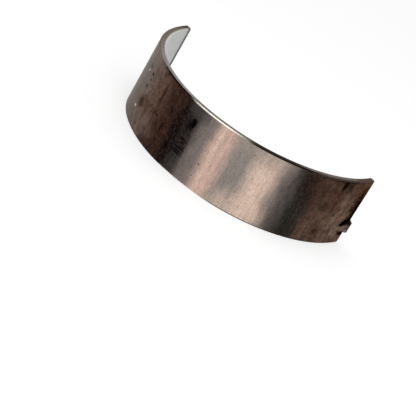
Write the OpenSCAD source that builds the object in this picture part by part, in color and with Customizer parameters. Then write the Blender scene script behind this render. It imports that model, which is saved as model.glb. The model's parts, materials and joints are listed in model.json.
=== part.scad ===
// Thin-wall half bearing shell for an engine journal: a steel back with a bonded bearing lining.
// Z is the journal axis and the origin lies on it at mid-width. The shell is the half on the -Y side
// of the parting plane, y = 0. It stands on a side face, with its locating lug at the +X end.

/* [Shell] */
// Diameter over the steel back, which is the housing bore that it is clamped in
housing_d = 56; // [44:0.5:80]
// Width of the shell along the journal axis
shell_w = 16; // [12:0.5:40]
// Thickness of the whole wall, steel and lining
wall_t = 1.5; // [1.2:0.05:3]
// Thickness of the bearing lining
lining_t = 0.25; // [0.15:0.05:0.5]

/* [Edges] */
// Chamfer of the back along each side face
back_chamfer = 0.2; // [0.1:0.05:0.5]
// Chamfer of the bore along each side face, deep enough to lay the steel bare
bore_chamfer = 0.35; // [0.1:0.05:0.6]
// Chamfer of the back along each parting face
parting_back_chamfer = 0.1; // [0.1:0.05:0.5]
// Chamfer of the bore along each parting face
parting_bore_chamfer = 0.15; // [0.05:0.05:0.4]

/* [Locating lug] */
// Width of the lug where it leaves the back, at the parting face
lug_w = 3.3; // [2:0.1:5]
// Height of the lug above the back
lug_h = 0.7; // [0.4:0.05:1]
// Length of the lug from the parting face to the foot of its ramp
lug_l = 3.6; // [2.5:0.1:5]
// Length of the flat top between the parting face and the ramp
lug_land = 0.8; // [0.2:0.1:1.5]
// Distance from mid-width down to the middle of the lug
lug_drop = 3.75; // [1:0.25:4]
// Draft of the lug's sides, seen from its end
lug_draft = 30; // [5:1:40]
// Taper of the lug's sides towards the foot of its ramp
lug_taper = 20; // [5:1:24]

/* [Hidden] */
$fn = 240;

back_r = housing_d / 2;
bore_r = back_r - wall_t;
bond_r = bore_r + lining_t;
half_w = shell_w / 2;

// How far a cut runs past the face that it opens
overrun = 1;
// How far the lug's wedge reaches into the wall below the foot of its ramp
lug_root = 0.3;

// Section through the wall, with r outwards from the journal axis and z from mid-width
module wall_section() {
    upper_side = [
        [bore_r, half_w - bore_chamfer],
        [bore_r + bore_chamfer, half_w],
        [back_r - back_chamfer, half_w],
        [back_r, half_w - back_chamfer],
    ];
    lower_side = [for (i = [len(upper_side) - 1 : -1 : 0]) [upper_side[i][0], -upper_side[i][1]]];
    polygon(concat(upper_side, lower_side));
}

// The bimetal strip as it is formed round the journal, before the lug is pressed
module formed_strip() {
    rotate([0, 0, 180])
        rotate_extrude(angle = 180)
            wall_section();
}

// Everything within a radius of the journal axis
module core(radius) {
    cylinder(r = radius, h = shell_w + 2 * overrun, center = true);
}

// Cut along Z that chamfers a corner at the origin whose metal lies towards -X and -Y
module corner_cut(chamfer) {
    linear_extrude(shell_w + 2 * overrun, center = true)
        polygon([
            [-chamfer - overrun, overrun],
            [overrun, -chamfer - overrun],
            [overrun, overrun],
        ]);
}

// Chamfers of the back along both parting faces
module parting_back_cuts() {
    for (end = [0, 1])
        mirror([end, 0, 0])
            translate([back_r, 0, 0])
                corner_cut(parting_back_chamfer);
}

// Chamfers of the bore along both parting faces
module parting_bore_cuts() {
    for (end = [0, 1])
        mirror([end, 0, 0])
            translate([bore_r, 0, 0])
                mirror([1, 0, 0])
                    corner_cut(parting_bore_chamfer);
}

// Wedge that the press pushes out of a wall surface of radius level_r.
// past carries a cutting copy of it beyond the parting face.
module lug_wedge(level_r, past = 0) {
    foot_x = sqrt(pow(level_r, 2) - pow(lug_l, 2));
    root_x = foot_x - lug_root;
    top_x = level_r + lug_h;
    block_w = 2 * lug_w;
    cutter = 4 * lug_l;
    translate([0, 0, -lug_drop])
        difference() {
            linear_extrude(block_w, center = true)
                polygon([
                    [root_x, past],
                    [top_x, past],
                    [top_x, -lug_land],
                    [foot_x, -lug_l],
                    [root_x, -lug_l],
                ]);
            for (side = [0, 1])
                mirror([0, 0, side])
                    translate([level_r, 0, lug_w / 2])
                        rotate([atan(tan(lug_taper) * cos(lug_draft)), lug_draft, 0])
                            translate([-cutter / 2, -cutter / 2, 0])
                                cube(cutter);
        }
}

// Steel back, with the lug pressed out of it and the hollow of the lug behind
module steel_back() {
    color("#6e5c51")
        difference() {
            union() {
                difference() {
                    formed_strip();
                    parting_back_cuts();
                }
                lug_wedge(back_r);
            }
            core(bond_r);
            lug_wedge(bond_r, overrun);
        }
}

// Bearing lining, bonded to the back and carried with it into the hollow of the lug
module bearing_lining() {
    color("#c6c6c0")
        difference() {
            union() {
                intersection() {
                    formed_strip();
                    core(bond_r);
                }
                difference() {
                    lug_wedge(bond_r);
                    core(bond_r - lining_t / 2);
                }
            }
            lug_wedge(bore_r, overrun);
            parting_bore_cuts();
        }
}

steel_back();
bearing_lining();
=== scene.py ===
"""Half bearing shell on a pale floor: its modelled metal, finishes, light and camera."""

import json
import logging
import math
from abc import ABC, abstractmethod
from contextlib import contextmanager
from dataclasses import dataclass
from enum import Enum, auto
from typing import Any, Callable, Iterator, Union

import bmesh
import bpy
from mathutils import Matrix, Vector

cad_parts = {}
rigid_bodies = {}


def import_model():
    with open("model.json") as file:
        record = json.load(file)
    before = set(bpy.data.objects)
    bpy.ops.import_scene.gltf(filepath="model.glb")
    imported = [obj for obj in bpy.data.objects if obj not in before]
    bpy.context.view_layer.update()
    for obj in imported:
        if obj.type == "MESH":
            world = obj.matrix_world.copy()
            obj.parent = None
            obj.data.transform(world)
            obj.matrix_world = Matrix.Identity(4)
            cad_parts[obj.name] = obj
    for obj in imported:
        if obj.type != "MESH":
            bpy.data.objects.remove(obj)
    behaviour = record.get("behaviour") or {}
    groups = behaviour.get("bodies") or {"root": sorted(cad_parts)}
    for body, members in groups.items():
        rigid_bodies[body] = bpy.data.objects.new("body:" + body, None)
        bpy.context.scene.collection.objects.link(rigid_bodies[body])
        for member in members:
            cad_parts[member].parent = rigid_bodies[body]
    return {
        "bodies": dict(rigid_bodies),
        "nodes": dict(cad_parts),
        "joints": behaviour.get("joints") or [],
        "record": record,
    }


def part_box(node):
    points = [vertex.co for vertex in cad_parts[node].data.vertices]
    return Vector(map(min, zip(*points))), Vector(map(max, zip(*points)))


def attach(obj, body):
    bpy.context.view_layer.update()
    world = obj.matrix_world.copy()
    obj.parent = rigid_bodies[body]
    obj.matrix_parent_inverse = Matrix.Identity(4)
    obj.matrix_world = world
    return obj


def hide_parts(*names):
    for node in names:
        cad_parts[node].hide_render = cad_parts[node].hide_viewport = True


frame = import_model()

Piece = bpy.types.Object
Edge = bmesh.types.BMEdge
Tree = bpy.types.NodeTree
Socket = bpy.types.NodeSocket
Number = Union[float, Socket]
Colour = tuple[float, float, float]
Paint = Union[Colour, Socket]
Span = tuple[float, float]

LOG = logging.getLogger("bearing_shell")
PHOTO_SIDE = 416

MM = 0.001
CUT_SNAP = 0.0001 * MM
BOTH_SIDES = (1.0, -1.0)

RISE: Span = (0.0, 1.0)
FALL: Span = (1.0, 0.0)
WHITE: Colour = (1.0, 1.0, 1.0)
NOISE_MEAN = 0.5
MIX_INPUTS = (0, 6, 7)  # share, lower and upper colour
MIX_RESULT = 2
WHOLE_WIDTH: Span = (0.0, 1000.0)
PARTING_FADE: Span = (-0.03 * MM, -0.01 * MM)

SCREEN_TOP = 255.0
SCREEN_KNEE = 0.04045
SCREEN_SLOPE = 12.92
SCREEN_OFFSET = 0.055
SCREEN_POWER = 2.4


# Sizes


@dataclass(frozen=True)
class ShellSizes:
    """Sizes of the half shell, in metres and degrees.

    The radii, the width and the lug's place come from the frame, and the rest are named here.
    """

    back_r: float
    bore_r: float
    half_w: float
    lug_h: float
    lug_z: float
    lining_t: float = 0.25 * MM
    back_chamfer: float = 0.2 * MM
    bore_chamfer: float = 0.35 * MM
    parting_back_chamfer: float = 0.1 * MM
    parting_bore_chamfer: float = 0.15 * MM
    lug_w: float = 3.3 * MM
    lug_l: float = 3.6 * MM
    lug_land: float = 0.8 * MM
    lug_draft: float = 30.0
    lug_taper: float = 20.0

    @classmethod
    def from_frame(cls, packed: dict[str, Any]) -> "ShellSizes":
        """Reads the sizes that the frame holds.


        Returns:
            The sizes of the shell.
        """
        mounts = {mount["name"]: mount for mount in packed["record"]["mounts"]}
        back_r = mounts["housing_seat"]["dims"]["r_mm"] * MM
        lug = mounts["locating_lug"]["pos_m"]
        return cls(
            back_r=back_r,
            bore_r=mounts["journal_seat"]["dims"]["r_mm"] * MM,
            half_w=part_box("steel_back")[1].z,
            lug_h=lug[0] - back_r,
            lug_z=lug[2],
        )

    @property
    def bond_r(self) -> float:
        """Radius of the line where the lining is bonded to the steel."""
        return self.bore_r + self.lining_t


# Modelling bench


class Joining(Enum):
    """What a tool body does to a piece."""

    ADD_ON = "UNION"
    CUT_OUT = "DIFFERENCE"


class Bench:
    """Edit-mode work on one object at a time, with everything else left unselected."""

    @staticmethod
    def take(piece: Piece) -> None:
        """Makes one object the only selected and the active one.

        Args:
            piece: the object.
        """
        bpy.ops.object.select_all(action="DESELECT")
        piece.select_set(True)
        bpy.context.view_layer.objects.active = piece

    @staticmethod
    @contextmanager
    def editing(piece: Piece) -> Iterator[None]:
        """Opens an object in edit mode with nothing selected, and closes it again.

        Args:
            piece: the object to work on.

        Yields:
            Nothing, while the object is open.
        """
        Bench.take(piece)
        bpy.ops.object.mode_set(mode="EDIT")
        bpy.ops.mesh.select_mode(type="VERT")
        bpy.ops.mesh.select_all(action="DESELECT")
        yield
        bpy.ops.object.mode_set(mode="OBJECT")

    @staticmethod
    def pick_edges(piece: Piece, wanted: Callable[[Edge], bool]) -> None:
        """Selects the edges that a test accepts, and drops the rest.

        Args:
            piece: the object in edit mode.
            wanted: the test, given one edge.
        """
        bpy.ops.mesh.select_all(action="DESELECT")
        mesh = bmesh.from_edit_mesh(piece.data)
        for edge in filter(wanted, mesh.edges):
            edge.select_set(True)
        mesh.select_flush_mode()
        bmesh.update_edit_mesh(piece.data)

    @staticmethod
    def merge_doubles(distance: float) -> None:
        """Merges points that lie closer than a distance, on a mesh in edit mode."""
        bpy.ops.mesh.select_all(action="SELECT")
        bpy.ops.mesh.remove_doubles(threshold=distance)

    @staticmethod
    def slice_off(point: Vector, outward: Vector, fill: bool) -> None:
        """Cuts away all that lies outside a plane, on a mesh in edit mode.

        Args:
            point: a point of the plane.
            outward: the side that is cut away.
            fill: whether the cut is closed with a face.
        """
        bpy.ops.mesh.select_all(action="SELECT")
        bpy.ops.mesh.bisect(
            plane_co=point, plane_no=outward, use_fill=fill, clear_outer=True, threshold=CUT_SNAP
        )

    @staticmethod
    def combine(piece: Piece, tool: Piece, joining: Joining) -> None:
        """Joins or cuts a piece with a tool body, which is then removed.

        Args:
            piece: the object that stays.
            tool: the object that is used up.
            joining: what the tool does to the piece.
        """
        Bench.take(piece)
        step = piece.modifiers.new(joining.name, "BOOLEAN")
        step.operation = joining.value
        step.solver = "EXACT"
        step.object = tool
        bpy.ops.object.modifier_apply(modifier=step.name)
        bpy.data.objects.remove(tool)


@dataclass(frozen=True)
class LugWedge:
    """The wedge that the press pushes out of one surface of the wall."""

    sizes: ShellSizes
    root: float = 0.3 * MM
    edge_round: float = 0.06 * MM
    round_steps: int = 3
    touch: float = 0.03 * MM
    least_outward: float = -0.1

    def model(self, level_r: float, past: float = 0.0, rounded: bool = False) -> Piece:
        """Models the wedge on a surface of the wall.

        Args:
            level_r: radius of the surface that it is pressed out of.
            past: how far a cutting copy runs past the parting face.
            rounded: whether its top edges are rounded.

        Returns:
            The wedge, as an object of its own.
        """
        sizes = self.sizes
        foot_x = math.sqrt(level_r**2 - sizes.lug_l**2)
        low = Vector((foot_x - self.root, -sizes.lug_l, sizes.lug_z - sizes.lug_w))
        high = Vector((level_r + sizes.lug_h, past, sizes.lug_z + sizes.lug_w))
        bpy.ops.object.select_all(action="DESELECT")
        bpy.ops.mesh.primitive_cube_add(size=1.0, location=(low + high) / 2)
        wedge = bpy.context.active_object
        wedge.scale = high - low
        bpy.ops.object.transform_apply(location=True, rotation=True, scale=True)
        ramp_run = sizes.lug_l - sizes.lug_land
        ramp_out = Vector((ramp_run, foot_x - high.x, 0.0))
        draft = math.tan(math.radians(sizes.lug_draft))
        taper = math.tan(math.radians(sizes.lug_taper))
        with Bench.editing(wedge):
            Bench.slice_off(Vector((foot_x, -sizes.lug_l, 0.0)), ramp_out, True)
            for side in BOTH_SIDES:
                corner = Vector((level_r, 0.0, sizes.lug_z + side * sizes.lug_w / 2))
                Bench.slice_off(corner, Vector((draft, -taper, side)), True)
            if rounded:
                Bench.pick_edges(wedge, lambda edge: self._on_top(edge, high.x))
                bpy.ops.mesh.bevel(offset=self.edge_round, segments=self.round_steps, affect="EDGES")
        return wedge

    def _on_top(self, edge: Edge, top_x: float) -> bool:
        """Whether an edge bounds the wedge's flat top or runs down its ramp.

        Args:
            edge: the edge.
            top_x: how far out the flat top lies.

        Returns:
            True for an edge that is rounded.
        """
        ends = [vert.co for vert in edge.verts]
        at_parting = all(abs(end.y) < self.touch for end in ends)
        outward = all(face.normal.x > self.least_outward for face in edge.link_faces)
        reaches_top = any(abs(end.x - top_x) < self.touch for end in ends)
        return reaches_top and outward and not at_parting


# Shell pieces


@dataclass
class HalfRing(ABC):
    """One metal layer of the shell: a section spun half a turn about the journal axis."""

    sizes: ShellSizes
    turn_steps: int = 360
    width_cuts: int = 63
    merge_dist: float = 0.0005 * MM
    smooth_angle: float = 25.0
    overrun: float = 1.0 * MM

    @property
    def tool_length(self) -> float:
        """Length of a cutting tool that runs well past both side faces."""
        return 4 * self.sizes.half_w

    @abstractmethod
    def model(self) -> Piece:
        """Models the layer in its place and returns it."""

    def dress(self, piece: Piece, finish: "MetalFinish", effects: "WallEffects") -> None:
        """Gives the modelled layer its finish."""
        wear(piece, finish.make(effects))

    def spin_section(
        self, name: str, inner_r: float, outer_r: float, cuts: list[tuple[Vector, Vector]]
    ) -> Piece:
        """Models the layer as a plain half ring.

        Args:
            name: name of the piece.
            inner_r: inner radius of the layer.
            outer_r: outer radius of the layer.
            cuts: planes, as point and outward normal, that chamfer the section.

        Returns:
            The closed half ring.
        """
        bpy.ops.object.select_all(action="DESELECT")
        middle = ((inner_r + outer_r) / 2, 0.0, 0.0)
        bpy.ops.mesh.primitive_plane_add(size=1.0, location=middle, rotation=(math.pi / 2, 0.0, 0.0))
        ring = bpy.context.active_object
        ring.name = ring.data.name = name
        ring.scale = (outer_r - inner_r, 2 * self.sizes.half_w, 1.0)
        bpy.ops.object.transform_apply(location=True, rotation=True, scale=True)
        with Bench.editing(ring):
            for point, outward in cuts:
                Bench.slice_off(point, outward, False)
            for radius in (inner_r, outer_r):
                Bench.pick_edges(ring, lambda edge: self._stands_at(edge, radius))
                bpy.ops.mesh.subdivide(number_cuts=self.width_cuts)
            bpy.ops.mesh.select_all(action="SELECT")
            bpy.ops.mesh.spin(
                steps=self.turn_steps, angle=math.pi, center=(0.0, 0.0, 0.0), axis=(0.0, 0.0, 1.0)
            )
            Bench.pick_edges(ring, lambda edge: edge.is_boundary)
            bpy.ops.mesh.edge_face_add()
            Bench.merge_doubles(self.merge_dist)
            bpy.ops.mesh.normals_make_consistent(inside=False)
        return ring

    def _stands_at(self, edge: Edge, radius: float) -> bool:
        """Whether a section edge runs along the journal axis at a radius."""
        return all(abs(vert.co.x - radius) < self.merge_dist for vert in edge.verts)

    def finish(self, piece: Piece) -> None:
        """Merges doubled points and smooths the round faces, with the pressed edges kept crisp.

        Args:
            piece: the modelled layer.
        """
        with Bench.editing(piece):
            Bench.merge_doubles(self.merge_dist)
        Bench.take(piece)
        bpy.ops.object.shade_smooth_by_angle(angle=math.radians(self.smooth_angle))


@dataclass
class SteelBack(HalfRing):
    """The steel half ring with its chamfers, its lug and the hollow behind the lug."""

    def model(self) -> Piece:
        """Models the steel back in its place.

        Returns:
            The finished piece, standing for the steel_back node.
        """
        sizes = self.sizes
        bared = sizes.bore_chamfer - sizes.lining_t
        cuts = []
        for side in BOTH_SIDES:
            outer = Vector((sizes.back_r - sizes.back_chamfer, 0.0, side * sizes.half_w))
            inner = Vector((sizes.bond_r + bared, 0.0, side * sizes.half_w))
            cuts.append((outer, Vector((1.0, 0.0, side))))
            cuts.append((inner, Vector((-1.0, 0.0, side))))
        back = self.spin_section("shell_back", sizes.bond_r, sizes.back_r, cuts)
        edge_x = sizes.back_r - sizes.parting_back_chamfer
        with Bench.editing(back):
            for end in BOTH_SIDES:
                Bench.slice_off(Vector((end * edge_x, 0.0, 0.0)), Vector((end, 1.0, 0.0)), True)
        wedge = LugWedge(sizes)
        Bench.combine(back, wedge.model(sizes.bond_r, past=self.overrun), Joining.CUT_OUT)
        Bench.combine(back, wedge.model(sizes.back_r, rounded=True), Joining.ADD_ON)
        self.finish(back)
        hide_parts("steel_back")
        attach(back, "root")
        return back


@dataclass
class BearingLining(HalfRing):
    """The lining bonded inside the back, carried with it into the hollow of the lug."""

    def model(self) -> Piece:
        """Models the lining in its place.

        Returns:
            The finished piece, standing for the bearing_lining node.
        """
        sizes = self.sizes
        cuts = []
        for side in BOTH_SIDES:
            point = Vector((sizes.bore_r, 0.0, side * (sizes.half_w - sizes.bore_chamfer)))
            cuts.append((point, Vector((-1.0, 0.0, side))))
        lining = self.spin_section("shell_lining", sizes.bore_r, sizes.bond_r, cuts)
        wedge = LugWedge(sizes)
        tongue = wedge.model(sizes.bond_r)
        Bench.combine(tongue, self._journal(sizes.bond_r - sizes.lining_t / 2), Joining.CUT_OUT)
        Bench.combine(lining, tongue, Joining.ADD_ON)
        Bench.combine(lining, wedge.model(sizes.bore_r, past=self.overrun), Joining.CUT_OUT)
        for end in BOTH_SIDES:
            Bench.combine(lining, self._edge_cutter(end), Joining.CUT_OUT)
        self.finish(lining)
        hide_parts("bearing_lining")
        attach(lining, "root")
        return lining

    def _journal(self, radius: float) -> Piece:
        """Models a plain round bar on the journal axis.

        Args:
            radius: radius of the bar.

        Returns:
            The bar, as a cutting tool.
        """
        bpy.ops.object.select_all(action="DESELECT")
        bpy.ops.mesh.primitive_cylinder_add(
            vertices=2 * self.turn_steps, radius=radius, depth=self.tool_length
        )
        return bpy.context.active_object

    def _edge_cutter(self, end: float) -> Piece:
        """Models the bar that chamfers the bore along one parting face.

        Args:
            end: 1 for the end with the lug, -1 for the plain one.

        Returns:
            The bar, as a cutting tool.
        """
        sizes = self.sizes
        bpy.ops.object.select_all(action="DESELECT")
        bpy.ops.mesh.primitive_cube_add(size=1.0)
        bar = bpy.context.active_object
        bar.scale = (2 * self.overrun, 2 * self.overrun, self.tool_length)
        bar.rotation_euler = (0.0, 0.0, math.pi / 4)
        reach = self.overrun * math.sqrt(2.0) - sizes.parting_bore_chamfer
        bar.location = (end * (sizes.bore_r - reach / 2), reach / 2, 0.0)
        bpy.ops.object.transform_apply(location=True, rotation=True, scale=True)
        return bar


# Shader desk


class Calc(Enum):
    """Operations of a Math node, by their names."""

    ADD = auto()
    SUBTRACT = auto()
    MULTIPLY = auto()
    DIVIDE = auto()
    SQRT = auto()
    ABSOLUTE = auto()
    MAXIMUM = auto()
    LESS_THAN = auto()
    ARCTAN2 = auto()


class Blend(Enum):
    """How one colour is laid over another."""

    COVER = "MIX"
    SHADE = "MULTIPLY"


class Desk:
    """Places nodes in one node tree and links them."""

    def __init__(self, tree: Tree) -> None:
        """Takes the tree to work on."""
        self.tree = tree

    def add(self, kind: str, *values: Any, **settings: Any) -> bpy.types.Node:
        """Adds a node.

        Args:
            kind: the node's type name, without its ShaderNode start.
            values: what its first inputs get, in their order.
            settings: properties to set on it.

        Returns:
            The node.
        """
        node = self.tree.nodes.new(f"ShaderNode{kind}")
        for name, value in settings.items():
            setattr(node, name, value)
        self.feed_all(node, *values)
        return node

    def feed(self, socket: Socket, value: Any) -> None:
        """Links a socket to another one, or sets its value.

        Args:
            socket: the input to feed.
            value: the output, number or colour that it gets.
        """
        if isinstance(value, Socket):
            self.tree.links.new(value, socket)
        elif isinstance(value, tuple) and socket.type == "RGBA":
            socket.default_value = (*value, 1.0)
        else:
            socket.default_value = value

    def feed_all(self, node: bpy.types.Node, *values: Any) -> None:
        """Feeds a node's first inputs in their order."""
        for socket, value in zip(node.inputs, values):
            self.feed(socket, value)

    def math(self, calc: Calc, first: Number, second: Number = 0.0) -> Socket:
        """Works out a value from one other or from two."""
        return self.add("Math", first, second, operation=calc.name).outputs[0]

    def mix(self, share: float, first: Number, second: Number) -> Socket:
        """Mixes two values, with a fixed share of the second."""
        part = self.math(Calc.MULTIPLY, second, share)
        return self.math(Calc.ADD, self.math(Calc.MULTIPLY, first, 1.0 - share), part)

    def length(self, first: Number, second: Number) -> Socket:
        """Gives the length of two parts that stand at right angles."""
        squares = [self.math(Calc.MULTIPLY, part, part) for part in (first, second)]
        return self.math(Calc.SQRT, self.math(Calc.ADD, *squares))

    def blend(self, share: Number, below: Paint, above: Any, blend: Blend = Blend.COVER) -> Socket:
        """Lays a colour over another one.

        Args:
            share: how much of the upper colour shows.
            below: the lower colour.
            above: the upper colour, or a value that shades the lower one.
            blend: how the upper one is laid.

        Returns:
            The blended colour.
        """
        node = self.add("Mix", data_type="RGBA", blend_type=blend.value, clamp_factor=True)
        for index, value in zip(MIX_INPUTS, (share, below, above)):
            self.feed(node.inputs[index], value)
        return node.outputs[MIX_RESULT]

    def ease(self, value: Number, reach: tuple[Number, Number], gives: Span = RISE) -> Socket:
        """Maps a value smoothly over a reach, to what it gives at the reach's start and end."""
        node = self.add("MapRange", value, *reach, *gives, interpolation_type="SMOOTHSTEP", clamp=True)
        return node.outputs[0]

    def use(self, group: Tree, *values: Any) -> list[Socket]:
        """Places a node group, with its inputs fed in their order, and returns its outputs."""
        return list(self.add("Group", *values, node_tree=group).outputs)

    def seen(self) -> Socket:
        """Masks the rays that show a surface to the eye, straight, mirrored or through glass.

        Returns:
            1 for such a ray and 0 for one that only brings light.
        """
        path = self.add("LightPath").outputs
        straight = self.math(Calc.MAXIMUM, path["Is Camera Ray"], path["Is Glossy Ray"])
        return self.math(Calc.MAXIMUM, straight, path["Is Transmission Ray"])


class GroupDesk(Desk):
    """A desk for a node group, with the group's own inputs and outputs."""

    def __init__(self, name: str, inputs: tuple[str, ...], outputs: tuple[str, ...]) -> None:
        """Starts the group, with a vector socket for the input or output called Flat.

        Args:
            name: the group's name.
            inputs: the names of its inputs.
            outputs: the names of its outputs.
        """
        super().__init__(bpy.data.node_groups.new(name, "ShaderNodeTree"))
        for way, titles in (("INPUT", inputs), ("OUTPUT", outputs)):
            for title in titles:
                kind = "NodeSocketVector" if title == "Flat" else "NodeSocketFloat"
                self.tree.interface.new_socket(name=title, in_out=way, socket_type=kind)
        entry = self.tree.nodes.new("NodeGroupInput")
        self.takes = [entry.outputs[title] for title in inputs]

    def give(self, *values: Socket) -> Tree:
        """Links values to the group's outputs in their order and returns the group."""
        self.feed_all(self.tree.nodes.new("NodeGroupOutput"), *values)
        return self.tree


class WallEffects:
    """Shader groups that more than one finish or patch of tone uses, each built once."""

    def __init__(self, sizes: ShellSizes) -> None:
        """Builds the groups.

        Args:
            sizes: sizes of the shell that they are for.
        """
        self.sizes = sizes
        self.unrolled = self._unrolled()
        self.tone_patch = self._tone_patch()
        self.grain = self._grain()

    def _unrolled(self) -> Tree:
        """Builds the group that unrolls the wall round the journal axis.

        Returns:
            The group, which gives the angle from the crown in degrees, the height and the radius in
            millimetres, whether a place lies on a parting face, and the flat place on the unrolled wall.
        """
        desk = GroupDesk("unrolled_wall", (), ("Arc", "Height", "Radius", "Parting", "Flat"))
        parts = desk.add("SeparateXYZ", desk.add("TexCoord").outputs["Object"])
        x, y, z = parts.outputs
        angle = desk.math(Calc.ARCTAN2, x, desk.math(Calc.MULTIPLY, y, -1.0))
        arc = desk.math(Calc.MULTIPLY, angle, math.degrees(1.0))
        height = desk.math(Calc.DIVIDE, z, MM)
        radius = desk.math(Calc.DIVIDE, desk.length(x, y), MM)
        along = desk.math(Calc.MULTIPLY, angle, self.sizes.back_r / MM)
        flat = desk.add("CombineXYZ", along, height, radius)
        return desk.give(arc, height, radius, desk.ease(y, PARTING_FADE), flat.outputs[0])

    @staticmethod
    def _tone_patch() -> Tree:
        """Builds the group that masks one patch of tone, round or drawn out to a band, with a broken
        edge; oxide, dirt, painted reflections and painted shadows all use it.

        Returns:
            The group, which gives the share of the patch's tone.
        """
        place = ("Arc", "Height", "Break Up", "Centre", "Half Width", "Middle", "Half Height")
        desk = GroupDesk("soft_tone_patch", (*place, "Soft", "Share", "Ragged", "Slant"), ("Mask",))
        arc, height, break_up, centre, half_width, middle, half_height, *look = desk.takes
        soft, share, ragged, slant = look
        turned = desk.math(Calc.SUBTRACT, arc, centre)
        across = desk.math(Calc.DIVIDE, turned, half_width)
        axis = desk.math(Calc.ADD, middle, desk.math(Calc.MULTIPLY, turned, slant))
        along = desk.math(Calc.DIVIDE, desk.math(Calc.SUBTRACT, height, axis), half_height)
        broken = desk.math(Calc.MULTIPLY, break_up, ragged)
        away = desk.math(Calc.ADD, desk.length(across, along), broken)
        half_soft = desk.math(Calc.MULTIPLY, soft, 0.5)
        fade = desk.math(Calc.SUBTRACT, 1.0, half_soft), desk.math(Calc.ADD, 1.0, half_soft)
        return desk.give(desk.math(Calc.MULTIPLY, desk.ease(away, fade, FALL), share))

    @staticmethod
    def _grain() -> Tree:
        """Builds the group for noise drawn out along or across the journal axis.

        Returns:
            The group, which gives the noise.
        """
        desk = GroupDesk("drawn_grain", ("Flat", "Across", "Along", "Detail", "Seed"), ("Value",))
        flat, across, along, detail, seed = desk.takes
        stretch = desk.add("CombineXYZ", across, along)
        drawn = desk.add("VectorMath", flat, stretch.outputs[0], operation="MULTIPLY")
        noise = desk.add("TexNoise", noise_dimensions="4D")
        inputs = {"Vector": drawn.outputs[0], "W": seed, "Scale": 1.0, "Detail": detail}
        for name, value in inputs.items():
            desk.feed(noise.inputs[name], value)
        return desk.give(noise.outputs["Fac"])


# Finishes


class Tone(Enum):
    """Colours of the worn metal, with painted reflections, highlights and shade among them, as they are
    written for a screen.
    """

    BROWN_OXIDE = (98, 77, 67)
    DEEP_OXIDE = (72, 54, 44)
    # Dark oxide; also painted shade running into the black band of painted dark reflection, and partly
    # painted shade in stamp dents.
    DARK_OXIDE_AND_SHADE = (50, 32, 25)
    RED_OXIDE = (79, 48, 40)
    RUST = (94, 62, 42)
    PALE_OXIDE = (113, 93, 80)
    BARE_GREY = (143, 136, 130)
    WARM_GREY = (124, 114, 107)
    RIM_GREY = (123, 118, 109)
    COOL_GREY = (152, 148, 149)
    SHADED_GREY = (90, 81, 78)
    # Mid grey: painted reflection around the softbox highlights and on the lug's ramp, and a pale spot
    # beside the lug.
    MID_GREY = (120, 110, 105)
    PALE_GREY = (135, 128, 121)
    # Dim steel: painted dark reflection on the wall, and a darker stretch of the side face.
    DIM_STEEL = (66, 63, 60)
    # Painted dark reflections.
    DARK_STEEL = (38, 36, 32)
    DARK_REFLECTION = (37, 31, 31)
    # Soot and dark streaks; also painted dark reflection in the black band and along the outer chamfer,
    # and painted shadow under the lug.
    SOOT_AND_SHADE = (22, 15, 13)
    BLACK = (9, 6, 9)
    DUST = (128, 116, 106)
    # Painted reflections of the two softboxes, the last one greyer, as at the top of the bands; the lamps
    # add real highlights over them.
    COPPER_REFLECTION = (196, 166, 152)
    BEIGE_REFLECTION = (208, 183, 167)
    BEIGE_GREY = (152, 139, 130)
    # Painted highlight on chamfer edges and on the edges of stamp dents.
    HIGHLIGHT = (226, 219, 209)

    @property
    def light(self) -> Colour:
        """The tone as linear light."""
        return tuple(self._linear(part / SCREEN_TOP) for part in self.value)

    @staticmethod
    def _linear(part: float) -> float:
        """One screen value, from 0 to 1, as linear light."""
        curved = ((part + SCREEN_OFFSET) / (1.0 + SCREEN_OFFSET)) ** SCREEN_POWER
        return part / SCREEN_SLOPE if part <= SCREEN_KNEE else curved


@dataclass(frozen=True)
class TonePatch:
    """A soft patch of one tone on the unrolled wall, used for oxide and dirt and for painted reflections
    and shadows; with no height given it is a band along the axis.

    Arc and height are each a middle and a half width: the arc in degrees from the crown towards the lug,
    the height in millimetres from mid-width. The slant is millimetres of height per degree.
    """

    tone: Tone
    arc: Span
    height: Span = WHOLE_WIDTH
    soft: float = 1.4
    share: float = 1.0
    ragged: float = 1.0
    slant: float = 0.0


@dataclass(frozen=True)
class Grain:
    """Noise on the unrolled wall, with its cells per millimetre across and along the journal axis."""

    across: float
    along: float
    detail: float
    seed: float


@dataclass(frozen=True)
class Mottle:
    """A grain, the reach of its noise that tells, and what it gives at the start and end of that."""

    grain: Grain
    reach: Span
    gives: Span = RISE


def beside(place: float, reach: Span) -> Span:
    """Gives a reach that is counted from a place."""
    return place + reach[0], place + reach[1]


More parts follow.
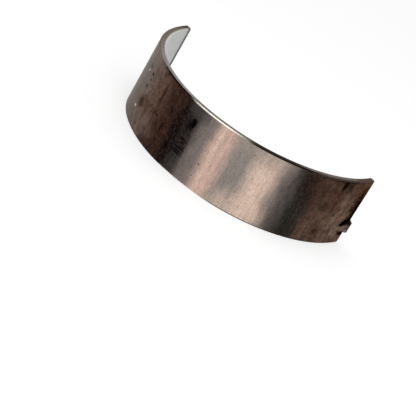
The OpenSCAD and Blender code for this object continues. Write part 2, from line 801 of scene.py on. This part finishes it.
class WallDesk(Desk):
    """A desk for one metal of the shell, with the wall unrolled on it."""

    def __init__(self, name: str, effects: WallEffects) -> None:
        """Starts the material.

        Args:
            name: the material's name.
            effects: the shared shader groups.
        """
        self.material = bpy.data.materials.new(name)
        self.material.use_nodes = True
        super().__init__(self.material.node_tree)
        self.effects = effects
        self.arc, self.height, self.radius, self.parting, self.flat = self.use(effects.unrolled)

    def grain(self, grain: Grain) -> Socket:
        """Lays a grain on the wall and returns its noise at each place."""
        values = (grain.across, grain.along, grain.detail, grain.seed)
        return self.use(self.effects.grain, self.flat, *values)[0]

    def mottle(self, mottle: Mottle) -> Socket:
        """Lays a mottle on the wall and returns what it gives at each place."""
        return self.ease(self.grain(mottle.grain), mottle.reach, mottle.gives)

    def mask(self, tone_patch: TonePatch, break_up: Number = 0.0) -> Socket:
        """Masks a patch of tone, its edge broken by a noise about zero, and returns its share at each
        place.
        """
        values = (*tone_patch.arc, *tone_patch.height, tone_patch.soft, tone_patch.share, tone_patch.ragged, tone_patch.slant)
        return self.use(self.effects.tone_patch, self.arc, self.height, break_up, *values)[0]

    def paint(self, ground: Paint, tone_patches: tuple[TonePatch, ...], broken: Grain) -> Socket:
        """Lays patches of tone over a ground, one after the other: oxide and dirt, painted reflections
        and painted shadows.

        Args:
            ground: the colour below.
            tone_patches: the stains, lowest first.
            broken: the grain that breaks their edges.

        Returns:
            The stained colour.
        """
        break_up = self.math(Calc.SUBTRACT, self.grain(broken), NOISE_MEAN)
        colour = ground
        for tone_patch in tone_patches:
            colour = self.blend(self.mask(tone_patch, break_up), colour, tone_patch.tone.light)
        return colour


@dataclass(frozen=True)
class MetalFinish(ABC):
    """A finish of bare metal on the wall of the shell."""

    name: str
    polish_reach: Span
    roughness: Span
    bump_strength: float
    bump_depth: float = 0.02 * MM
    grazing_tint: Colour = WHITE

    def make(self, effects: WallEffects) -> bpy.types.Material:
        """Builds the material.

        Args:
            effects: the shared shader groups.

        Returns:
            The material of one layer.
        """
        desk = WallDesk(self.name, effects)
        metal = desk.tree.nodes["Principled BSDF"].inputs
        lay = self.lay_on(desk)
        desk.feed(metal["Base Color"], self.colour_on(desk, lay))
        desk.feed(metal["Metallic"], 1.0)
        desk.feed(metal["Specular Tint"], self.grazing_tint)
        desk.feed(metal["Roughness"], desk.ease(lay, self.polish_reach, self.roughness))
        bump = desk.add("Bump")
        desk.feed(bump.inputs["Strength"], self.bump_strength)
        desk.feed(bump.inputs["Distance"], self.bump_depth)
        desk.feed(bump.inputs["Height"], lay)
        desk.feed(metal["Normal"], bump.outputs[0])
        return desk.material

    @abstractmethod
    def lay_on(self, desk: WallDesk) -> Socket:
        """Gives the lay that the tools and the wear left in the metal."""

    @abstractmethod
    def colour_on(self, desk: WallDesk, lay: Socket) -> Socket:
        """Gives the colour of the whole layer."""


@dataclass(frozen=True)
class OxidisedSteel(MetalFinish):
    """Brown oxidised steel with stained spots and with bands of painted reflection along the journal
    axis.
    """

    name: str = "oxidised_steel"
    polish_reach: Span = (0.3, 0.7)
    roughness: Span = (0.32, 0.46)
    bump_strength: float = 0.2
    grazing_tint: Colour = (0.45, 0.43, 0.42)
    bands: tuple[TonePatch, ...] = (
        # Painted reflections: the copper and beige bands are painted softbox highlights, brightened by
        # the lamps' real ones, with painted dimmer reflection in the greys near 24 degrees. The bands at
        # -6 to -2 and 52 to 55 degrees are painted dark reflections, and the dark oxide band at -10
        # degrees is painted shade into them.
        TonePatch(Tone.WARM_GREY, (-70, 36), soft=0.4, ragged=0.5),
        TonePatch(Tone.BARE_GREY, (-82.5, 36), soft=0.4, ragged=0.4),
        TonePatch(Tone.DARK_OXIDE_AND_SHADE, (-10, 11), soft=1.3),
        TonePatch(Tone.DEEP_OXIDE, (63, 11), soft=1.1),
        TonePatch(Tone.SHADED_GREY, (23.8, 25), soft=0.16, ragged=0.1),
        TonePatch(Tone.MID_GREY, (24.2, 20.7), soft=0.24, ragged=0.5),
        TonePatch(Tone.PALE_GREY, (24, 9), soft=1),
        TonePatch(Tone.COPPER_REFLECTION, (14.2, 4.4), soft=1.25),
        TonePatch(Tone.BEIGE_REFLECTION, (35, 5.4), soft=1.3),
        TonePatch(Tone.DIM_STEEL, (52.5, 5), soft=1.1),
        TonePatch(Tone.DARK_STEEL, (55, 4), soft=1.2),
        TonePatch(Tone.SOOT_AND_SHADE, (-5.6, 4.2), soft=1, ragged=2.6),
        TonePatch(Tone.DARK_REFLECTION, (-2, 2.9), soft=1, share=0.85, ragged=1.2),
    )
    blotches: tuple[TonePatch, ...] = (
        # Painted reflection: a lighter strip in the copper highlight, and the highlights greyer at the
        # top and lighter at the bottom.
        TonePatch(Tone.BEIGE_REFLECTION, (12.4, 0.9), share=0.6, ragged=0.6),
        TonePatch(Tone.BEIGE_GREY, (34, 9), (8, 3), share=0.7),
        TonePatch(Tone.BEIGE_GREY, (24, 6), (7.6, 2.2), share=0.5),
        TonePatch(Tone.BEIGE_REFLECTION, (27, 8), (-8.2, 3.6), soft=1.6, share=0.7),
        TonePatch(Tone.BEIGE_REFLECTION, (37, 6), (-7.5, 4), soft=1.6, share=0.7),
        # Painted dark reflection: the black band drawn on up and down the wall.
        TonePatch(Tone.DIM_STEEL, (-1, 5), (7.4, 2.2), share=0.7),
        TonePatch(Tone.DIM_STEEL, (-1, 3.4), (-6.4, 2.8), soft=1.2, share=0.4),
        TonePatch(Tone.BLACK, (-6.8, 1.6), (-3.4, 2.8), soft=1.2, share=0.8, ragged=2),
        TonePatch(Tone.BLACK, (-7.6, 1.6), (0.2, 1), soft=1.2, share=0.7, ragged=2),
        TonePatch(Tone.WARM_GREY, (-30, 10), (-6.4, 3.4), share=0.35),
        TonePatch(Tone.DARK_OXIDE_AND_SHADE, (-19, 11), (8.4, 2), soft=1.2, share=0.6),
        TonePatch(Tone.DARK_OXIDE_AND_SHADE, (-18, 8), (-7.8, 2.2), soft=1.2, share=0.6),
        TonePatch(Tone.DARK_OXIDE_AND_SHADE, (57.5, 6.5), (8, 6), share=0.8),
        TonePatch(Tone.SOOT_AND_SHADE, (55.5, 5), (8, 5.4), share=0.75),
        TonePatch(Tone.DEEP_OXIDE, (71, 14), (7.6, 4.6), soft=1.3, share=0.8),
        TonePatch(Tone.BROWN_OXIDE, (67, 6), (-5, 4), share=0.6),
        TonePatch(Tone.PALE_OXIDE, (79, 5.5), (-1.8, 5), share=0.7),
        TonePatch(Tone.RUST, (86, 3), (6.2, 1.3), share=0.5, ragged=2),
        TonePatch(Tone.MID_GREY, (81, 3.2), (-4.6, 2.6), share=0.35),
        TonePatch(Tone.RED_OXIDE, (72, 1), (2.4, 2.6), share=0.8),
        TonePatch(Tone.RED_OXIDE, (71, 3), (4.4, 0.8), share=0.6),
        TonePatch(Tone.RED_OXIDE, (75.5, 1.6), (0.6, 1.2), share=0.5),
        # Painted reflection that makes the lug's ramp paler.
        TonePatch(Tone.MID_GREY, (87.8, 3.2), (-4.2, 1.1), soft=0.9, share=0.4),
    )
    marks: tuple[TonePatch, ...] = (
        TonePatch(Tone.DARK_OXIDE_AND_SHADE, (90.5, 6.4), (2, 4.8), soft=0.9, ragged=2.8),
        TonePatch(Tone.SOOT_AND_SHADE, (90.5, 4.4), (0.6, 3.8), soft=0.9, ragged=2.6),
        TonePatch(Tone.BLACK, (90.7, 1.7), (3.2, 5.6), soft=0.7, ragged=0.6),
        # Dark patch on the wall above the lug, partly grime and partly painted shadow.
        TonePatch(Tone.BLACK, (88.4, 3.6), (-1.7, 0.8), soft=0.9, ragged=1.6, slant=0.25),
        # Painted shadow on the lug's upper flank.
        TonePatch(Tone.BLACK, (86.6, 4.4), (-2.45, 0.5), soft=0.5, ragged=0.6, slant=0.178),
        TonePatch(Tone.DEEP_OXIDE, (90.2, 1), (-3.75, 1.6), soft=0.8, share=0.8),
        # Painted shadow along the foot of the lug's lower side.
        TonePatch(Tone.SOOT_AND_SHADE, (88.2, 5), (-5.6, 0.28), soft=1, share=0.7, slant=-0.178),
        TonePatch(Tone.SOOT_AND_SHADE, (87.6, 2.2), (-5.5, 0.45), soft=1, ragged=1.6),
        # Dirt and painted shadow at the lug's foot.
        TonePatch(Tone.BLACK, (84.9, 1.8), (-2.6, 0.7), soft=0.8, ragged=1.2, slant=0.25),
        TonePatch(Tone.SOOT_AND_SHADE, (71.9, 1.3), (6.8, 1.5), soft=1, ragged=1.8),
        TonePatch(Tone.SOOT_AND_SHADE, (75.4, 1.5), (6.4, 1), soft=1.3, share=0.5, ragged=2),
        TonePatch(Tone.SOOT_AND_SHADE, (71, 12), (7.65, 0.35), soft=1.2, share=0.65, ragged=1.2),
        TonePatch(Tone.DARK_OXIDE_AND_SHADE, (69.5, 1.7), (-5, 1), soft=1.3, share=0.8, ragged=2),
        TonePatch(Tone.DEEP_OXIDE, (78, 1.3), (-4.8, 0.9), share=0.7, ragged=2),
        TonePatch(Tone.SOOT_AND_SHADE, (59, 0.35), (-5.5, 1.6), soft=1.3, share=0.6, ragged=1.2),
        TonePatch(Tone.DARK_OXIDE_AND_SHADE, (63, 0.5), (4.2, 0.4), soft=1.2, share=0.7, ragged=1.6),
        # Stamp dents on the left: the dark marks are partly the stamps and partly painted shade in the
        # dents, and the two brightest are painted highlights on their edges.
        TonePatch(Tone.DARK_OXIDE_AND_SHADE, (-37.5, 0.9), (3.9, 0.35), soft=1, ragged=3),
        TonePatch(Tone.DARK_OXIDE_AND_SHADE, (-37, 0.7), (2.6, 0.25), soft=1, ragged=3),
        TonePatch(Tone.DARK_OXIDE_AND_SHADE, (-38, 0.9), (0.9, 0.4), soft=1.2, share=0.8, ragged=3),
        TonePatch(Tone.DARK_OXIDE_AND_SHADE, (-43.5, 1.4), (4.3, 0.3), share=0.6, ragged=3),
        TonePatch(Tone.DARK_OXIDE_AND_SHADE, (-35.5, 2.6), (-2.2, 1.1), share=0.8, ragged=4),
        TonePatch(Tone.HIGHLIGHT, (-44.2, 0.8), (3.2, 0.28), soft=1.2, share=0.8, ragged=3),
        TonePatch(Tone.HIGHLIGHT, (-38.8, 0.8), (-4.1, 0.26), soft=1.2, share=0.8, ragged=3),
        TonePatch(Tone.COOL_GREY, (-39.5, 0.6), (2.3, 0.2), soft=1.2, share=0.7, ragged=3),
        TonePatch(Tone.SOOT_AND_SHADE, (-13.8, 1.1), (2.7, 0.6), soft=1.2, share=0.7, ragged=2),
        TonePatch(Tone.SOOT_AND_SHADE, (-14.6, 0.7), (-1.7, 0.9), soft=1.2, share=0.8, ragged=2),
        TonePatch(Tone.DARK_OXIDE_AND_SHADE, (-20.2, 0.8), (-0.7, 0.35), soft=1),
        TonePatch(Tone.DARK_OXIDE_AND_SHADE, (-22.4, 0.7), (3.8, 2.6), share=0.9),
        TonePatch(Tone.BLACK, (-0.8, 1.3), (4.1, 1), soft=0.8, ragged=1.4),
        TonePatch(Tone.BLACK, (-2, 1.5), (3.2, 1), share=0.8, ragged=3),
        TonePatch(Tone.BLACK, (-0.9, 1.2), (-2.2, 0.2), soft=1.2, share=0.8, ragged=0.8),
        TonePatch(Tone.BLACK, (-2.2, 3.2), (-3.3, 0.17), soft=1.3, share=0.8, ragged=0.8),
    )
    # The outer chamfer line: a painted dark reflection, with painted highlights near the crown where the
    # softbox reflections cross it.
    line_bands: tuple[TonePatch, ...] = (
        TonePatch(Tone.WARM_GREY, (-78, 45), soft=0.3, ragged=0.3),
        TonePatch(Tone.RIM_GREY, (-86, 30), soft=0.8),
        TonePatch(Tone.SHADED_GREY, (-96, 14), soft=0.9),
        TonePatch(Tone.BARE_GREY, (9, 13.4), soft=0.5, ragged=0.6),
        TonePatch(Tone.HIGHLIGHT, (5.6, 10.6), soft=0.9, ragged=0.4),
        TonePatch(Tone.SHADED_GREY, (72, 16), soft=0.6, share=0.55, ragged=0.4),
        TonePatch(Tone.BROWN_OXIDE, (90, 9), soft=1, share=0.8, ragged=0.6),
    )
    rim_bands: tuple[TonePatch, ...] = (
        TonePatch(Tone.RIM_GREY, (-90, 34), soft=0.6),
        TonePatch(Tone.SHADED_GREY, (-96, 14), soft=0.9),
        TonePatch(Tone.COOL_GREY, (-24, 20), soft=0.8),
        TonePatch(Tone.RIM_GREY, (9, 15), soft=0.6),
        TonePatch(Tone.DIM_STEEL, (38, 14), soft=0.6),
        TonePatch(Tone.WARM_GREY, (66, 16), soft=0.8),
        TonePatch(Tone.SHADED_GREY, (88, 10), soft=0.9),
        TonePatch(Tone.BROWN_OXIDE, (90, 12), soft=1, share=0.5),
    )
    band_edge: Grain = Grain(0.55, 0.22, detail=5, seed=3)
    mark_edge: Grain = Grain(1.65, 1.98, detail=5, seed=3)
    left_oxide: float = -21.0
    left_fade: Span = (9.0, 20.0)
    right_fade: Span = (52.0, 64.0)
    left_wear: float = 0.6
    bare_cloud: float = 0.5
    cloud: Mottle = Mottle(Grain(0.8, 0.65, detail=5, seed=21), (0.3, 0.7), (0.84, 1.16))
    lines: Mottle = Mottle(Grain(1.5, 0.06, detail=3, seed=23), (0.3, 0.7), (0.93, 1.07))
    patches: Mottle = Mottle(Grain(0.6, 0.5, detail=6, seed=71), (0.38, 0.62), (0.72, 1.24))
    streaks: tuple[tuple[Tone, Mottle], ...] = (
        (Tone.RED_OXIDE, Mottle(Grain(0.9, 0.7, detail=6, seed=31), (0.52, 0.70), (0, 0.65))),
        (Tone.DARK_OXIDE_AND_SHADE, Mottle(Grain(0.9, 0.7, detail=6, seed=41), (0.52, 0.70), (0, 0.85))),
        (Tone.DARK_OXIDE_AND_SHADE, Mottle(Grain(1.6, 1.1, detail=2, seed=51), (0.62, 0.70), (0, 0.8))),
    )
    dust: Mottle = Mottle(Grain(2, 1.4, detail=5, seed=13), (0.44, 0.72), (0, 0.11))
    smear: TonePatch = TonePatch(Tone.BLACK, (-1.2, 2.6), (-0.9, 3.2), soft=0.8, share=0.85)
    smear_rungs: Mottle = Mottle(Grain(0.5, 2.6, detail=2, seed=61), (0.47, 0.56))
    pits_per_mm: float = 0.45
    pit_share: float = 0.3
    pit_size: float = 0.09
    least_pit: float = 0.35
    pit_core: float = 0.4
    pit_strength: float = 0.7
    parting_stain: Mottle = Mottle(Grain(0.6, 0.5, detail=5, seed=81), (0.46, 0.66), (0, 0.7))
    line_width: float = 0.26
    line_fade: float = 0.08
    strip_fade: Span = (-0.02, 0.06)
    side_fade: Span = (-0.04, -0.02)
    fine_grain: Grain = Grain(3.4, 2.6, detail=3, seed=7)
    drawn_grain: Grain = Grain(3.2, 0.4, detail=3, seed=9)
    drawn_share: float = 0.3
    lay_reach: Span = (0.36, 0.64)
    lay_shade: Span = (0.84, 1.16)

    def lay_on(self, desk: WallDesk) -> Socket:
        """Mixes the fine grain with the one drawn along the axis."""
        return desk.mix(self.drawn_share, desk.grain(self.fine_grain), desk.grain(self.drawn_grain))

    def colour_on(self, desk: WallDesk, lay: Socket) -> Socket:
        """Paints the wall, its edges and the parting faces.

        Args:
            desk: the material's desk.
            lay: the lay of the metal.

        Returns:
            The colour of the whole piece.
        """
        colour = desk.paint(Tone.BROWN_OXIDE.light, self.bands + self.blotches, self.band_edge)
        colour = self._weather(desk, colour)
        colour = desk.paint(colour, self.marks, self.mark_edge)
        colour = self._edges(desk, colour)
        return desk.blend(1.0, colour, desk.ease(lay, self.lay_reach, self.lay_shade), Blend.SHADE)

    def _weather(self, desk: WallDesk, colour: Socket) -> Socket:
        """Mottles the metal and adds oxide streaks, dust, a smear and pits.

        Args:
            desk: the material's desk.
            colour: the colour so far.

        Returns:
            The weathered colour.
        """
        away = desk.math(Calc.ABSOLUTE, desk.math(Calc.SUBTRACT, desk.arc, self.left_oxide))
        left = desk.ease(away, self.left_fade, FALL)
        right = desk.ease(desk.arc, self.right_fade)
        oxide = desk.math(Calc.MAXIMUM, left, right)
        clouded = desk.ease(oxide, RISE, (self.bare_cloud, 1.0))
        worn = desk.math(Calc.MAXIMUM, right, desk.math(Calc.MULTIPLY, left, self.left_wear))
        for share, mottle in ((clouded, self.cloud), (1.0, self.lines), (worn, self.patches)):
            colour = desk.blend(share, colour, desk.mottle(mottle), Blend.SHADE)
        for tone, mottle in self.streaks:
            mask = desk.math(Calc.MULTIPLY, desk.mottle(mottle), oxide)
            colour = desk.blend(mask, colour, tone.light)
        colour = desk.blend(desk.mottle(self.dust), colour, Tone.DUST.light)
        smeared = desk.math(Calc.MULTIPLY, desk.mottle(self.smear_rungs), desk.mask(self.smear))
        colour = desk.blend(smeared, colour, self.smear.tone.light)
        return desk.blend(self._pits(desk), colour, Tone.DARK_OXIDE_AND_SHADE.light)

    def _pits(self, desk: WallDesk) -> Socket:
        """Scatters sparse small pits of uneven size.

        Args:
            desk: the material's desk.

        Returns:
            How much they cover at each place.
        """
        cells = desk.add("TexVoronoi", voronoi_dimensions="2D", feature="F1")
        desk.feed(cells.inputs["Vector"], desk.flat)
        desk.feed(cells.inputs["Scale"], self.pits_per_mm)
        draw = desk.add("SeparateColor", cells.outputs["Color"])
        kept = desk.math(Calc.LESS_THAN, draw.outputs[0], self.pit_share)
        uneven = desk.math(Calc.ADD, draw.outputs[1], self.least_pit)
        reach = desk.math(Calc.MULTIPLY, uneven, self.pit_size)
        core = desk.math(Calc.MULTIPLY, reach, self.pit_core)
        spot = desk.ease(cells.outputs["Distance"], (core, reach), FALL)
        return desk.math(Calc.MULTIPLY, spot, desk.math(Calc.MULTIPLY, kept, self.pit_strength))

    def _edges(self, desk: WallDesk, colour: Socket) -> Socket:
        """Paints the side faces, a painted highlight on their inner strip, the painted reflections of the
        line along their outer edge and the parting faces.

        Args:
            desk: the material's desk.
            colour: the colour of the wall.

        Returns:
            The colour of the whole piece.
        """
        sizes = desk.effects.sizes
        side = sizes.half_w / MM
        chamfer_start = side - sizes.back_chamfer / MM
        strip_end = (sizes.bore_r + sizes.bore_chamfer) / MM
        line_start = sizes.back_r / MM - self.line_width
        edge = desk.math(Calc.ABSOLUTE, desk.height)
        # Painted dark reflection with painted highlights along the outer chamfer, run on over the outer
        # edge of the side face.
        line = desk.paint(Tone.SOOT_AND_SHADE.light, self.line_bands, self.band_edge)
        rim = desk.paint(Tone.BARE_GREY.light, self.rim_bands, self.band_edge)
        # Painted highlight on the inner chamfer strip of the side face.
        strip = desk.ease(desk.radius, beside(strip_end, self.strip_fade), FALL)
        rim = desk.blend(strip, rim, Tone.HIGHLIGHT.light)
        on_rim = desk.ease(desk.radius, beside(line_start, (-self.line_fade, self.line_fade)))
        rim = desk.blend(on_rim, rim, line)
        on_chamfer = desk.ease(edge, beside(chamfer_start, (-self.line_fade, 0.0)))
        colour = desk.blend(on_chamfer, colour, line)
        colour = desk.blend(desk.ease(edge, beside(side, self.side_fade)), colour, rim)
        stained = desk.mottle(self.parting_stain)
        parting = desk.blend(stained, Tone.BARE_GREY.light, Tone.BROWN_OXIDE.light)
        return desk.blend(desk.parting, colour, parting)


@dataclass(frozen=True)
class LiningMetal(MetalFinish):
    """Pale matt bearing metal, with a painted highlight on its chamfers."""

    name: str = "lining_metal"
    polish_reach: Span = (0.2, 0.8)
    roughness: Span = (0.40, 0.53)
    bump_strength: float = 0.3
    bore_colour: Colour = (0.54, 0.548, 0.57)
    # Painted highlight on the chamfers.
    chamfer_colour: Colour = (0.60, 0.595, 0.56)
    end_tint: Colour = (0.88, 0.89, 0.83)
    edge_colour: Colour = (0.10, 0.10, 0.092)
    turned_grain: Grain = Grain(0.15, 5, detail=3, seed=11)
    lay_reach: Span = (0.3, 0.7)
    lay_shade: Span = (0.94, 1.05)
    cloud: Mottle = Mottle(Grain(0.12, 0.3, detail=4, seed=17), (0.3, 0.7), (0.90, 1.06))
    inset_fade: Span = (-0.5, -0.05)
    inset_shade: Span = (1.0, 0.88)
    chamfer_fade: Span = (-0.03, 0.01)
    end_fade: Span = (55.0, 90.0)
    edge_fade: Span = (87.1, 88.7)

    def lay_on(self, desk: WallDesk) -> Socket:
        """Gives the grain that is turned round the bore."""
        return desk.grain(self.turned_grain)

    def colour_on(self, desk: WallDesk, lay: Socket) -> Socket:
        """Paints the bore, a painted highlight on its chamfers, and its edges along the parting faces.

        Args:
            desk: the material's desk.
            lay: the lay of the metal.

        Returns:
            The colour of the whole piece.
        """
        sizes = desk.effects.sizes
        chamfer_start = (sizes.half_w - sizes.bore_chamfer) / MM
        edge = desk.math(Calc.ABSOLUTE, desk.height)
        end = desk.math(Calc.ABSOLUTE, desk.arc)
        inset = desk.ease(edge, beside(chamfer_start, self.inset_fade), self.inset_shade)
        colour = self.bore_colour
        for shade in (desk.mottle(self.cloud), desk.ease(lay, self.lay_reach, self.lay_shade), inset):
            colour = desk.blend(1.0, colour, shade, Blend.SHADE)
        # Painted highlight on the chamfers.
        bright = desk.ease(edge, beside(chamfer_start, self.chamfer_fade))
        colour = desk.blend(bright, colour, self.chamfer_colour)
        colour = desk.blend(desk.ease(end, self.end_fade), colour, self.end_tint, Blend.SHADE)
        return desk.blend(desk.ease(end, self.edge_fade), colour, self.edge_colour)


def wear(piece: Piece, material: bpy.types.Material) -> None:
    """Gives a piece one material in place of any that it has."""
    piece.data.materials.clear()
    piece.data.materials.append(material)


# Stage


def bearing(azimuth: float, elevation: float) -> Vector:
    """Gives the direction from the journal axis at two angles in degrees."""
    turn, lift = math.radians(azimuth), math.radians(elevation)
    return Vector((math.sin(turn) * math.cos(lift), -math.cos(turn) * math.cos(lift), math.sin(lift)))


@dataclass(frozen=True)
class Softbox:
    """An area lamp that faces the shell."""

    name: str
    azimuth: float
    elevation: float = 35.0
    distance: float = 0.40
    width: float = 0.14
    height: float = 0.25
    watts: float = 0.2

    def hang(self) -> None:
        """Hangs the lamp at its place, turned to the journal axis."""
        back = bearing(self.azimuth, self.elevation)
        bpy.ops.object.light_add(type="AREA", location=back * self.distance)
        lamp = bpy.context.active_object
        lamp.name = self.name
        lamp.rotation_euler = back.to_track_quat("Z", "Y").to_euler()
        lamp.data.shape = "RECTANGLE"
        lamp.data.size = self.width
        lamp.data.size_y = self.height
        lamp.data.energy = self.watts
        lamp.visible_camera = False


@dataclass(frozen=True)
class Studio:
    """Pale floor, soft lamps and a white surround."""

    floor_side: float = 4.0
    floor_colour: Colour = (0.55, 0.55, 0.55)
    floor_glow: float = 0.56
    surround: float = 0.55
    lamps: tuple[Softbox, ...] = (
        Softbox("left_softbox", azimuth=3.0),
        Softbox("right_softbox", azimuth=45.0),
        Softbox("top_softbox", 0.0, elevation=85.0, distance=0.45, width=0.30, height=0.30, watts=0.4),
    )

    def build(self, sizes: ShellSizes) -> None:
        """Lays the floor under the shell, hangs the lamps and sets the surround.

        Args:
            sizes: sizes of the shell, which stands on the floor.
        """
        bpy.ops.object.select_all(action="DESELECT")
        bpy.ops.mesh.primitive_plane_add(size=self.floor_side, location=(0.0, 0.0, -sizes.half_w))
        floor = bpy.context.active_object
        floor.name = "floor"
        bpy.ops.object.transform_apply(location=True, rotation=True, scale=True)
        wear(floor, self._floor_paper())
        for lamp in self.lamps:
            lamp.hang()
        self._surround()

    def _floor_paper(self) -> bpy.types.Material:
        """Builds the floor's material: matt paper that looks white and still takes a shadow.

        Returns:
            The material of the floor.
        """
        material = bpy.data.materials.new("floor_paper")
        material.use_nodes = True
        desk = Desk(material.node_tree)
        desk.tree.nodes.remove(desk.tree.nodes["Principled BSDF"])
        glow = desk.add("Emission", WHITE, desk.math(Calc.MULTIPLY, desk.seen(), self.floor_glow))
        paper = desk.add("BsdfDiffuse", self.floor_colour)
        both = desk.add("AddShader", glow.outputs[0], paper.outputs[0])
        desk.feed(desk.tree.nodes["Material Output"].inputs["Surface"], both.outputs[0])
        return material

    def _surround(self) -> None:
        """Sets the world: white to the eye and in reflections, softer as a light."""
        world = bpy.data.worlds.new("studio_surround")
        bpy.context.scene.world = world
        world.use_nodes = True
        desk = Desk(world.node_tree)
        desk.tree.nodes.clear()
        seen = desk.math(Calc.MULTIPLY, desk.seen(), 1.0 - self.surround)
        sky = desk.add("Background", WHITE, desk.math(Calc.ADD, self.surround, seen))
        desk.add("OutputWorld", sky.outputs[0])


@dataclass(frozen=True)
class PhotoCamera:
    """The camera at the photograph's viewing angle, turned about its own line of sight.

    Lengths are in outer radii of the shell, angles in degrees and the focal length in pixels.
    """

    azimuth: float = 25.0
    elevation: float = 24.1
    roll: float = 30.6
    distance: float = 14.0
    across: float = 0.396
    down: float = -0.581
    focal_px: float = 1846.0
    sensor: float = 36.0
    far: float = 1000.0

    def place(self, sizes: ShellSizes) -> None:
        """Makes the camera and sets it as the scene's.

        Args:
            sizes: sizes of the shell, which the distances count in.
        """
        turn, roll = math.radians(self.azimuth), math.radians(self.roll)
        back = bearing(self.azimuth, self.elevation)
        level = Vector((math.cos(turn), math.sin(turn), 0.0))
        upright = back.cross(level)
        right = math.cos(roll) * level + math.sin(roll) * upright
        up = math.cos(roll) * upright - math.sin(roll) * level
        eye = (back * self.distance - right * self.across + up * self.down) * sizes.back_r
        bpy.ops.object.camera_add()
        camera = bpy.context.active_object
        camera.matrix_world = Matrix.Translation(eye) @ Matrix((right, up, back)).transposed().to_4x4()
        camera.data.sensor_width = self.sensor
        camera.data.lens = self.focal_px * self.sensor / PHOTO_SIDE
        camera.data.clip_start = sizes.back_r
        camera.data.clip_end = self.far * sizes.back_r
        bpy.context.scene.camera = camera


def main() -> None:
    """Builds the shell, its finishes, the stage and the camera."""
    logging.basicConfig(level=logging.INFO, format="%(name)s: %(message)s")
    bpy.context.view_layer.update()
    sizes = ShellSizes.from_frame(frame)
    effects = WallEffects(sizes)
    for layer, finish in ((SteelBack(sizes), OxidisedSteel()), (BearingLining(sizes), LiningMetal())):
        piece = layer.model()
        layer.dress(piece, finish, effects)
        LOG.info("%s: %d faces", piece.name, len(piece.data.polygons))
    Studio().build(sizes)
    PhotoCamera().place(sizes)
    bpy.context.scene.view_settings.view_transform = "Standard"


if __name__ == "__main__":
    main()
